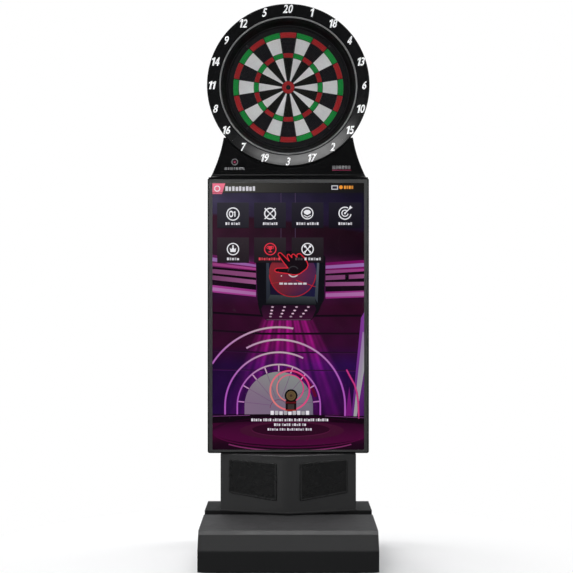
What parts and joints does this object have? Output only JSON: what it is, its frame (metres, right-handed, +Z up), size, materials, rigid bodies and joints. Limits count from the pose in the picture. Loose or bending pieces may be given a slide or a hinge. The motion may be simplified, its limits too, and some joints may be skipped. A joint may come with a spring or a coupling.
{
  "type": "electronic dartboard",
  "caption": "Free-standing electronic dartboard: soft-tip target with number ring on a neck above a portrait touch display, V-front speaker column and low base.",
  "frame": {"origin": "on the floor under the middle of the base", "axes": "+Z up, players stand towards -Y, +X to their right"},
  "size_m": [0.5996, 0.617, 1.9494],
  "materials": {
    "powder_black": "fine powder coat",
    "textured_grey": "textured powder coat",
    "column_laminate": "dark satin laminate on board",
    "zinc_steel": "zinc plated",
    "wheel_rubber": "matte",
    "grille_mesh": "perforated, satin",
    "speaker_parts": "moulded",
    "cone_paper": "coated",
    "bezel_grey": "satin grey",
    "gloss_black": "gloss",
    "front_glass": "clear",
    "display_panel": "lit screen",
    "pcb_case": "satin",
    "alu_case": "mill finish",
    "black_moulding": "fine grain",
    "rocker_red": "gloss",
    "ring_black": "satin gloss",
    "lip_clear": "frosted translucent",
    "target_black": "moulded",
    "target_white": "moulded",
    "target_red": "moulded",
    "target_green": "moulded",
    "pad_rubber": "sheet",
    "sensor_film": "printed film",
    "backing_board": "painted board",
    "screw_steel": "blackened",
    "badge_metal": "satin",
    "cable_pvc": "matte"
  },
  "bodies": {
    "machine": {"base_chassis": "powder_black", "base_front_cover": "textured_grey", "base_rear_cover": "textured_grey", "caster_plates": "zinc_steel", "speaker_cabinet": "column_laminate", "speaker_grille_left": "grille_mesh", "speaker_grille_right": "grille_mesh", "speaker_drivers": "speaker_parts", "spine_frame": "powder_black", "display_bezel": "bezel_grey", "display_housing": "gloss_black", "touch_glass": "front_glass", "lcd_panel": "display_panel", "display_bracket": "powder_black", "cabinet_shell": "powder_black", "game_computer": "pcb_case", "power_supply": "alu_case", "exhaust_fan_frame": "black_moulding", "power_inlet": "black_moulding", "head_shell": "black_moulding", "neck_panel": "gloss_black", "number_ring_upper": "ring_black", "number_ring_lower": "ring_black", "light_guide_ring": "lip_clear", "catch_funnel": "black_moulding", "target_frame": "target_black", "membrane_pad": "pad_rubber", "sensor_matrix": "sensor_film", "target_backplate": "backing_board", "fasteners": "screw_steel", "badges": "badge_metal", "wiring_loom": "cable_pvc"},
    "caster_swivel_fl": {"caster_fork_fl": "zinc_steel"},
    "caster_roller_fl": {"caster_wheel_fl": "wheel_rubber"},
    "caster_swivel_fr": {"caster_fork_fr": "zinc_steel"},
    "caster_roller_fr": {"caster_wheel_fr": "wheel_rubber"},
    "caster_swivel_rl": {"caster_fork_rl": "zinc_steel"},
    "caster_roller_rl": {"caster_wheel_rl": "wheel_rubber"},
    "caster_swivel_rr": {"caster_fork_rr": "zinc_steel"},
    "caster_roller_rr": {"caster_wheel_rr": "wheel_rubber"},
    "foot_fl": {"levelling_foot_fl": "zinc_steel"},
    "foot_fr": {"levelling_foot_fr": "zinc_steel"},
    "foot_rl": {"levelling_foot_rl": "zinc_steel"},
    "foot_rr": {"levelling_foot_rr": "zinc_steel"},
    "cone_left": {"speaker_cone_left": "cone_paper"},
    "cone_right": {"speaker_cone_right": "cone_paper"},
    "rear_door": {"service_door": "powder_black"},
    "lock_cam": {"door_lock": "zinc_steel"},
    "fan_wheel": {"exhaust_fan_rotor": "black_moulding"},
    "rocker": {"power_rocker": "rocker_red"},
    "seg_double_red": {"double_segments_red": "target_red"},
    "seg_double_green": {"double_segments_green": "target_green"},
    "seg_triple_red": {"triple_segments_red": "target_red"},
    "seg_triple_green": {"triple_segments_green": "target_green"},
    "seg_outer_single_black": {"outer_single_segments_black": "target_black"},
    "seg_outer_single_white": {"outer_single_segments_white": "target_white"},
    "seg_inner_single_black": {"inner_single_segments_black": "target_black"},
    "seg_inner_single_white": {"inner_single_segments_white": "target_white"},
    "seg_outer_bull": {"outer_bull_segment": "target_red"},
    "seg_inner_bull": {"inner_bull_segment": "target_black"}
  },
  "joints": [
    {"name": "swivel_fl", "type": "hinge", "parent": "machine", "child": "caster_swivel_fl", "pos_m": [-0.215, -0.14, 0.06], "axis": [0, 0, 1], "continuous": true},
    {"name": "roll_fl", "type": "hinge", "parent": "caster_swivel_fl", "child": "caster_roller_fl", "pos_m": [-0.215, -0.12, 0.029], "axis": [1, 0, 0], "continuous": true},
    {"name": "swivel_fr", "type": "hinge", "parent": "machine", "child": "caster_swivel_fr", "pos_m": [0.215, -0.14, 0.06], "axis": [0, 0, 1], "continuous": true},
    {"name": "roll_fr", "type": "hinge", "parent": "caster_swivel_fr", "child": "caster_roller_fr", "pos_m": [0.215, -0.12, 0.029], "axis": [1, 0, 0], "continuous": true},
    {"name": "swivel_rl", "type": "hinge", "parent": "machine", "child": "caster_swivel_rl", "pos_m": [-0.215, 0.18, 0.06], "axis": [0, 0, 1], "continuous": true},
    {"name": "roll_rl", "type": "hinge", "parent": "caster_swivel_rl", "child": "caster_roller_rl", "pos_m": [-0.215, 0.2, 0.029], "axis": [1, 0, 0], "continuous": true},
    {"name": "swivel_rr", "type": "hinge", "parent": "machine", "child": "caster_swivel_rr", "pos_m": [0.215, 0.18, 0.06], "axis": [0, 0, 1], "continuous": true},
    {"name": "roll_rr", "type": "hinge", "parent": "caster_swivel_rr", "child": "caster_roller_rr", "pos_m": [0.215, 0.2, 0.029], "axis": [1, 0, 0], "continuous": true},
    {"name": "level_fl", "type": "slide", "parent": "machine", "child": "foot_fl", "axis": [0, 0, 1], "range_m": [-0.06, 0.005]},
    {"name": "level_fr", "type": "slide", "parent": "machine", "child": "foot_fr", "axis": [0, 0, 1], "range_m": [-0.06, 0.005]},
    {"name": "level_rl", "type": "slide", "parent": "machine", "child": "foot_rl", "axis": [0, 0, 1], "range_m": [-0.06, 0.005]},
    {"name": "level_rr", "type": "slide", "parent": "machine", "child": "foot_rr", "axis": [0, 0, 1], "range_m": [-0.06, 0.005]},
    {"name": "cone_left_travel", "type": "slide", "parent": "machine", "child": "cone_left", "axis": [-0.2826, -0.9592, 0], "range_m": [-0.002, 0.002], "stiffness_N_per_m": 3000},
    {"name": "cone_right_travel", "type": "slide", "parent": "machine", "child": "cone_right", "axis": [0.2826, -0.9592, 0], "range_m": [-0.002, 0.002], "stiffness_N_per_m": 3000},
    {"name": "door_hinge", "type": "hinge", "parent": "machine", "child": "rear_door", "pos_m": [-0.225, 0.296, 0.83], "axis": [0, 0, 1], "range_deg": [0, 110]},
    {"name": "lock_turn", "type": "hinge", "parent": "rear_door", "child": "lock_cam", "pos_m": [0.196, 0.2915, 0.83], "axis": [0, -1, 0], "range_deg": [0, 90]},
    {"name": "fan_spin", "type": "hinge", "parent": "machine", "child": "fan_wheel", "pos_m": [0, 0.28, 1.285], "axis": [0, 1, 0], "continuous": true},
    {"name": "rocker_tilt", "type": "hinge", "parent": "machine", "child": "rocker", "pos_m": [0, 0.2875, 0.224], "axis": [1, 0, 0], "range_deg": [-18, 0]},
    {"name": "seg_double_red_press", "type": "slide", "parent": "machine", "child": "seg_double_red", "axis": [0, 1, 0], "range_m": [0, 0.0015], "stiffness_N_per_m": 900, "springref_m": -0.001},
    {"name": "seg_double_green_press", "type": "slide", "parent": "machine", "child": "seg_double_green", "axis": [0, 1, 0], "range_m": [0, 0.0015], "stiffness_N_per_m": 900, "springref_m": -0.001},
    {"name": "seg_triple_red_press", "type": "slide", "parent": "machine", "child": "seg_triple_red", "axis": [0, 1, 0], "range_m": [0, 0.0015], "stiffness_N_per_m": 900, "springref_m": -0.001},
    {"name": "seg_triple_green_press", "type": "slide", "parent": "machine", "child": "seg_triple_green", "axis": [0, 1, 0], "range_m": [0, 0.0015], "stiffness_N_per_m": 900, "springref_m": -0.001},
    {"name": "seg_outer_single_black_press", "type": "slide", "parent": "machine", "child": "seg_outer_single_black", "axis": [0, 1, 0], "range_m": [0, 0.0015], "stiffness_N_per_m": 900, "springref_m": -0.001},
    {"name": "seg_outer_single_white_press", "type": "slide", "parent": "machine", "child": "seg_outer_single_white", "axis": [0, 1, 0], "range_m": [0, 0.0015], "stiffness_N_per_m": 900, "springref_m": -0.001},
    {"name": "seg_inner_single_black_press", "type": "slide", "parent": "machine", "child": "seg_inner_single_black", "axis": [0, 1, 0], "range_m": [0, 0.0015], "stiffness_N_per_m": 900, "springref_m": -0.001},
    {"name": "seg_inner_single_white_press", "type": "slide", "parent": "machine", "child": "seg_inner_single_white", "axis": [0, 1, 0], "range_m": [0, 0.0015], "stiffness_N_per_m": 900, "springref_m": -0.001},
    {"name": "seg_outer_bull_press", "type": "slide", "parent": "machine", "child": "seg_outer_bull", "axis": [0, 1, 0], "range_m": [0, 0.0015], "stiffness_N_per_m": 900, "springref_m": -0.001},
    {"name": "seg_inner_bull_press", "type": "slide", "parent": "machine", "child": "seg_inner_bull", "axis": [0, 1, 0], "range_m": [0, 0.0015], "stiffness_N_per_m": 900, "springref_m": -0.001}
  ]
}
